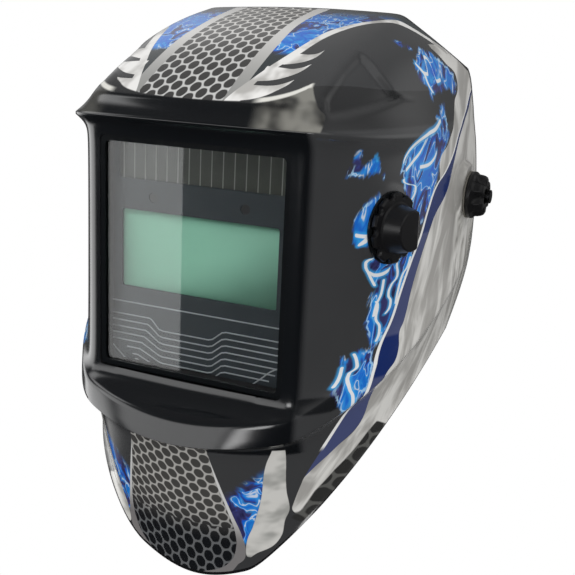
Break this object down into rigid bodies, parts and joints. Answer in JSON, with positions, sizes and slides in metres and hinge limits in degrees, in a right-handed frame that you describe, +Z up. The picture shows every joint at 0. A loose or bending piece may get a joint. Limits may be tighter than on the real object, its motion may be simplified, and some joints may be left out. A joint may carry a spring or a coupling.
{
  "type": "welding helmet",
  "caption": "Full-face welding helmet with a framed auto-darkening cartridge, outside shade knob, tilting shell on side pivots and padded ratchet headgear.",
  "frame": {"origin": "middle of the tilt axis, between the two pivots at the temples", "axes": "+Z up, the window faces -Y, +X towards the wearer's left"},
  "size_m": [0.241, 0.3237, 0.3168],
  "materials": {
    "shell_paint": "glossy painted graphics over black nylon",
    "black_gloss": "gloss black moulding",
    "black_plastic": "fine-textured black nylon",
    "knob_plastic": "satin black moulding",
    "cartridge_face": "satin grey-navy",
    "clear_lens": "clear polycarbonate",
    "filter_glass": "green dark-state filter",
    "solar_cell": "solar cell with silver fingers",
    "circuit": "solder-masked board",
    "steel": "zinc-plated",
    "brass": "turned brass",
    "fibre_washer": "grey friction fibre",
    "gasket": "soft black foam",
    "lead_jacket": "soft black jacket",
    "pad_foam": "padded sweatband cloth",
    "red_button": "red moulding"
  },
  "bodies": {
    "headgear": {"headband": "black_plastic", "brow_pad": "pad_foam", "crown_strap_left": "black_plastic", "crown_strap_right": "black_plastic", "crown_strap_peg": "black_plastic", "side_arm_left": "black_plastic", "side_arm_right": "black_plastic"},
    "pivot_carrier": {"slide_block_left": "black_plastic", "slide_block_right": "black_plastic", "pivot_bolt_left": "steel", "pivot_bolt_right": "steel", "friction_washer_left": "fibre_washer", "friction_washer_right": "fibre_washer"},
    "shell": {"helmet_shell": "shell_paint", "lens_holder_frame": "black_gloss", "holder_screws": "steel", "front_cover_lens": "clear_lens", "lens_gasket": "gasket", "adf_front_housing": "cartridge_face", "adf_rear_housing": "black_plastic", "solar_panel": "solar_cell", "lcd_filter": "filter_glass", "arc_sensors": "black_plastic", "circuit_board": "circuit", "coin_cells": "steel", "battery_door": "black_plastic", "trimmer_pots": "black_plastic", "inner_cover_lens": "clear_lens", "test_switch": "black_plastic", "shade_dial_plate": "black_gloss", "shade_pot": "steel", "shade_pot_cover": "black_plastic", "pot_nut": "steel", "shade_lead": "lead_jacket", "pivot_bush_left": "black_plastic", "pivot_bush_right": "black_plastic", "outer_washer_left": "fibre_washer", "outer_washer_right": "fibre_washer"},
    "tension_left": {"tension_knob_left": "knob_plastic", "knob_insert_left": "brass"},
    "tension_right": {"tension_knob_right": "knob_plastic", "knob_insert_right": "brass"},
    "shade_control": {"shade_knob": "knob_plastic", "pot_shaft": "steel"},
    "sensitivity_control": {"sensitivity_dial": "knob_plastic"},
    "delay_control": {"delay_dial": "knob_plastic"},
    "test_control": {"test_button": "red_button"},
    "retainer": {"cartridge_retainer": "black_plastic"},
    "rear_yoke": {"rear_band": "black_plastic", "nape_pad": "pad_foam", "ratchet_housing": "black_plastic", "ratchet_cover": "black_plastic", "housing_screws": "steel"},
    "ratchet": {"ratchet_knob": "knob_plastic", "ratchet_pinion": "steel"},
    "upper_rack": {"rack_upper": "black_plastic"},
    "lower_rack": {"rack_lower": "black_plastic"}
  },
  "joints": [
    {"name": "distance_slide", "type": "slide", "parent": "headgear", "child": "pivot_carrier", "axis": [0, -1, 0], "range_m": [-0.01, 0.01]},
    {"name": "shell_tilt", "type": "hinge", "parent": "pivot_carrier", "child": "shell", "pos_m": [0, 0, 0], "axis": [-1, 0, 0], "range_deg": [0, 65]},
    {"name": "left_tension_turn", "type": "hinge", "parent": "pivot_carrier", "child": "tension_left", "pos_m": [0.114, 0, 0], "axis": [1, 0, 0], "continuous": true},
    {"name": "right_tension_turn", "type": "hinge", "parent": "pivot_carrier", "child": "tension_right", "pos_m": [-0.114, 0, 0], "axis": [-1, 0, 0], "continuous": true},
    {"name": "shade_turn", "type": "hinge", "parent": "shell", "child": "shade_control", "pos_m": [0.08961, -0.09842, -0.00656], "axis": [0.942, -0.3345, 0.0289], "range_deg": [-140, 140]},
    {"name": "sensitivity_turn", "type": "hinge", "parent": "shell", "child": "sensitivity_control", "pos_m": [-0.038, -0.129, -0.072], "axis": [0, 1, 0], "range_deg": [-135, 135]},
    {"name": "delay_turn", "type": "hinge", "parent": "shell", "child": "delay_control", "pos_m": [0.038, -0.129, -0.072], "axis": [0, 1, 0], "range_deg": [-135, 135]},
    {"name": "test_press", "type": "slide", "parent": "shell", "child": "test_control", "axis": [0, -1, 0], "range_m": [0, 0.001], "stiffness_N_per_m": 600, "springref_m": -0.0005},
    {"name": "retainer_swing", "type": "hinge", "parent": "shell", "child": "retainer", "pos_m": [0, -0.1255, 0.033], "axis": [1, 0, 0], "range_deg": [0, 30]},
    {"name": "band_fit", "type": "slide", "parent": "headgear", "child": "rear_yoke", "axis": [0, -0.9848, 0.1736], "range_m": [0, 0.018]},
    {"name": "ratchet_turn", "type": "hinge", "parent": "rear_yoke", "child": "ratchet", "pos_m": [0, 0.12802, -0.02257], "axis": [0, 0.9848, -0.1736], "range_deg": [0, 171.89]},
    {"name": "rack_upper_slide", "type": "slide", "parent": "rear_yoke", "child": "upper_rack", "axis": [1, 0, 0], "range_m": [0, 0.018]},
    {"name": "rack_lower_slide", "type": "slide", "parent": "rear_yoke", "child": "lower_rack", "axis": [-1, 0, 0], "range_m": [0, 0.018]}
  ],
  "couplings": [
    {"joint": "band_fit", "follows": "ratchet_turn", "m_per_rad": 0.006},
    {"joint": "rack_upper_slide", "follows": "ratchet_turn", "m_per_rad": 0.006},
    {"joint": "rack_lower_slide", "follows": "ratchet_turn", "m_per_rad": 0.006}
  ]
}
